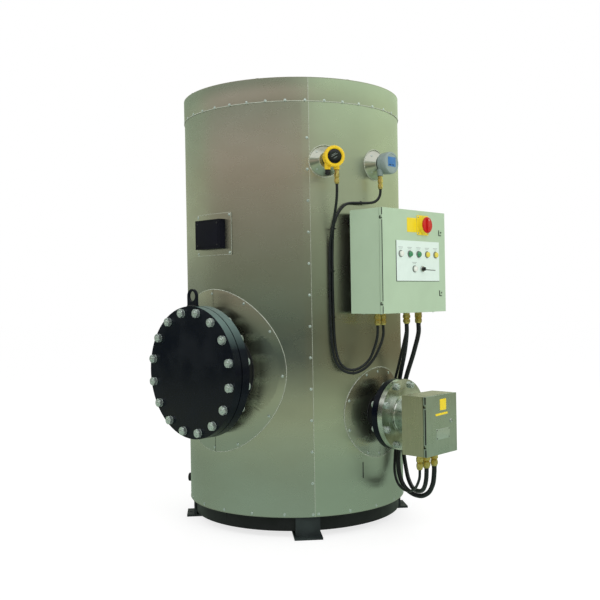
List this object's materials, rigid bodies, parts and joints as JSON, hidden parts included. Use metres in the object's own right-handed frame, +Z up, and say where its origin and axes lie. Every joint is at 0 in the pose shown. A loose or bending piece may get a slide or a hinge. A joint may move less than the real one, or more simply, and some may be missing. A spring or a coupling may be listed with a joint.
{
  "type": "calorifier",
  "caption": "Insulated upright hot water vessel with a bolted side manway, an electric heater with its terminal box, a control panel, instruments and cables, on a skirt with feet.",
  "frame": {"origin": "on the floor at the vessel's axis, the centre of the circle of anchor holes in the feet", "axes": "+Z up along the vessel's axis; the manway faces -Y; the heater, its terminal box and the control panel face +X"},
  "size_m": [1.5085, 1.2905, 2.184],
  "materials": {
    "black_paint": "gloss black industrial paint",
    "cladding_sheet": "smooth rolled sheet, satin",
    "gasket_rubber": "matt fibre and rubber sheet",
    "stainless": "turned and brushed",
    "box_steel": "brushed stainless sheet",
    "panel_paint": "fine textured pale grey-green powder coat",
    "gland_brass": "machined, slightly dulled",
    "bracket_zinc": "zinc plated",
    "legend_sheet": "satin engraved laminate",
    "lamp_lens": "moulded lens",
    "isolator_yellow": "moulded",
    "isolator_red": "moulded",
    "key_ring": "bright bezel",
    "key_barrel": "moulded",
    "instrument_yellow": "gloss enamel",
    "instrument_grey": "grey enamel",
    "nameplate_black": "satin black",
    "cable_black": "sheathed cable"
  },
  "bodies": {
    "vessel": {"vessel_shell": "black_paint", "vessel_upper_head": "black_paint", "vessel_lower_head": "black_paint", "base_skirt": "black_paint", "feet": "black_paint", "manway_neck": "black_paint", "manway_flange": "black_paint", "manway_cover": "black_paint", "lifting_eye": "black_paint", "heater_nozzle": "black_paint", "nozzle_flange": "black_paint", "drain_pipe": "black_paint", "cladding_shell": "cladding_sheet", "cladding_top_band": "cladding_sheet", "cladding_roof": "cladding_sheet", "cladding_base_ring": "cladding_sheet", "manway_rosette": "cladding_sheet", "heater_rosette": "cladding_sheet", "weather_cones": "cladding_sheet", "nameplate_sheet": "cladding_sheet", "manway_gasket": "gasket_rubber", "heater_gasket": "gasket_rubber", "heater_flange": "stainless", "heater_tube": "stainless", "terminal_box": "box_steel", "panel_body": "panel_paint", "terminal_glands": "gland_brass", "panel_glands": "gland_brass", "instrument_glands": "gland_brass", "panel_brackets": "bracket_zinc", "instrument_stems": "bracket_zinc", "yellow_housing": "instrument_yellow", "grey_housing": "instrument_grey", "nameplate_box": "nameplate_black", "yellow_cable": "cable_black", "grey_cable": "cable_black", "heater_cable_1": "cable_black", "heater_cable_2": "cable_black", "heater_cable_3": "cable_black"},
    "panel_door": {"panel_door": "panel_paint", "legend_plate": "legend_sheet", "panel_lamps": "lamp_lens", "isolator_plate": "isolator_yellow", "key_switch": "key_ring"},
    "isolator_knob": {"isolator_knob": "isolator_red"},
    "key_knob": {"key_knob": "key_barrel"},
    "terminal_door": {"terminal_door": "box_steel"}
  },
  "joints": [
    {"name": "panel_door_hinge", "type": "hinge", "parent": "vessel", "child": "panel_door", "pos_m": [0.783, -0.227, 1.305], "axis": [0, 0, -1], "range_deg": [0, 120]},
    {"name": "terminal_door_hinge", "type": "hinge", "parent": "vessel", "child": "terminal_door", "pos_m": [0.93, -0.119, 0.544], "axis": [0, 0, -1], "range_deg": [0, 110]},
    {"name": "isolator_turn", "type": "hinge", "parent": "panel_door", "child": "isolator_knob", "pos_m": [0.806, 0.08, 1.479], "axis": [1, 0, 0], "range_deg": [0, 90]},
    {"name": "key_turn", "type": "hinge", "parent": "panel_door", "child": "key_knob", "pos_m": [0.8, 0.068, 1.269], "axis": [1, 0, 0], "range_deg": [0, 90]}
  ]
}
